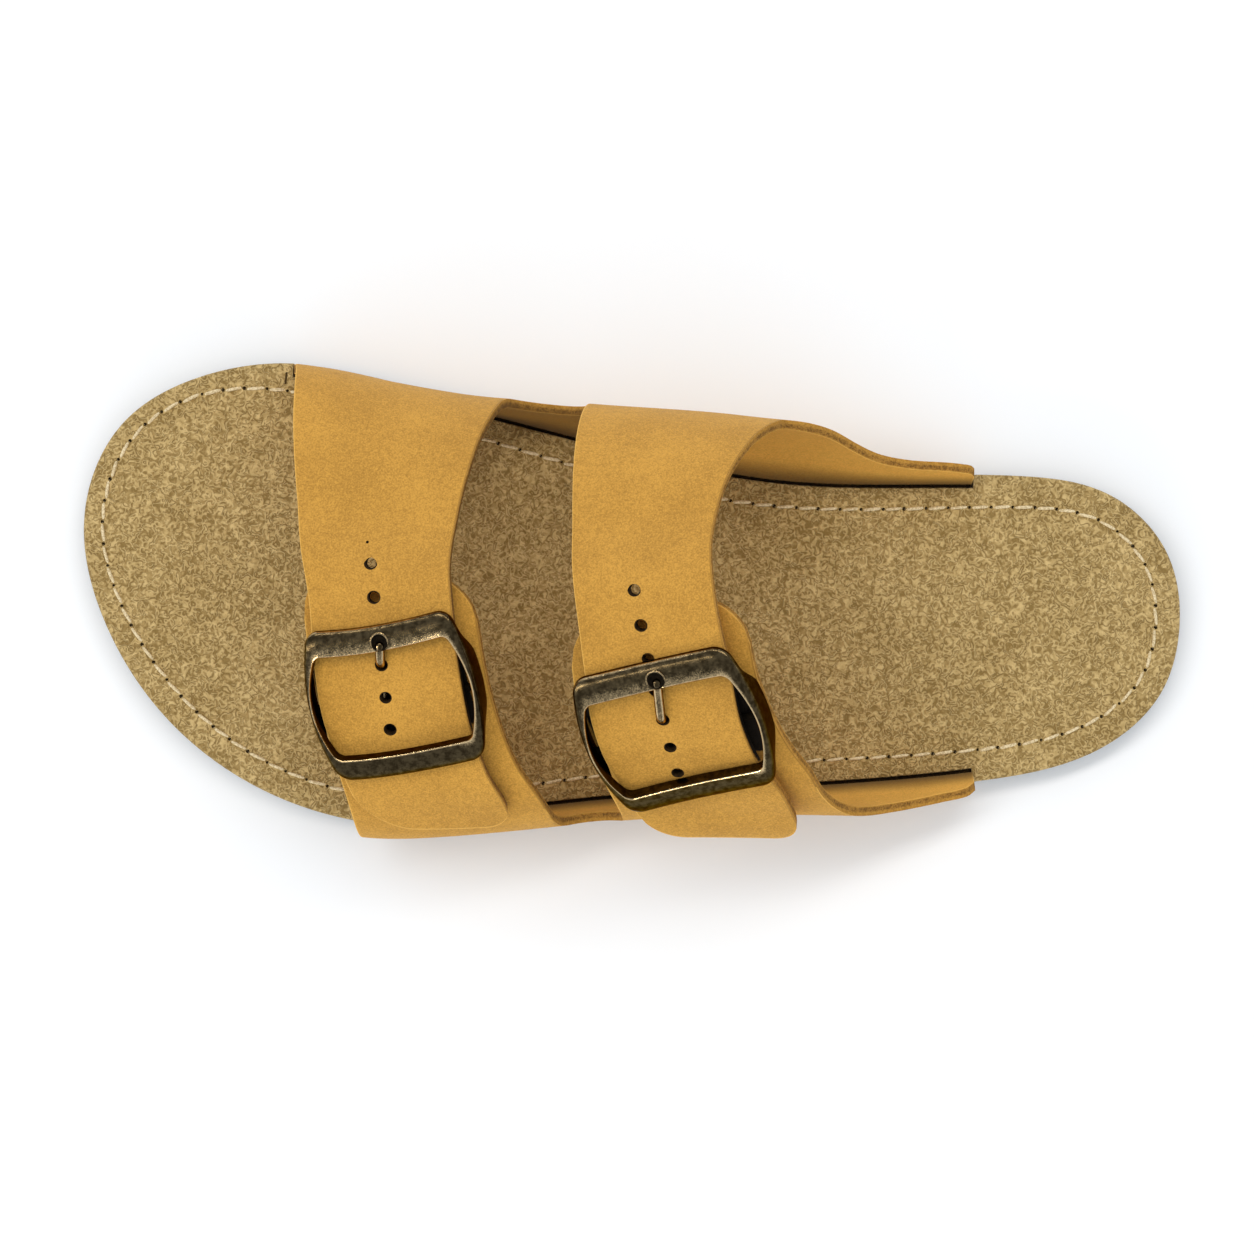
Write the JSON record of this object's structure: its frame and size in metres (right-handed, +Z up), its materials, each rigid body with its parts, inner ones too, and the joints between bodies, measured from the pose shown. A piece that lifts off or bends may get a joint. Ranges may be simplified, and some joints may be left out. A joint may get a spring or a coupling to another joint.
{
  "type": "barefoot sandal",
  "caption": "Flat left sandal with leather straps from the big-toe side crossing over outer tabs, held by prong buckles, on a notched felt footbed and a thin rubber sole.",
  "frame": {"origin": "on the floor under the middle of the sandal's box", "axes": "+X from heel to toe, +Y to the outer side of the foot where the buckles are, +Z up"},
  "size_m": [0.27, 0.1136, 0.0793],
  "materials": {
    "outsole": "matt",
    "insole": "felted fibre",
    "leather": "nubuck",
    "buckle": "antique bronze, worn on the edges"
  },
  "bodies": {
    "root": {"outsole": "outsole", "insole": "insole", "upper_medial": "leather", "upper_lateral": "leather", "buckle_frame_front": "buckle", "buckle_frame_rear": "buckle", "buckle_prong_front": "buckle", "buckle_prong_rear": "buckle"}
  },
  "joints": []
}
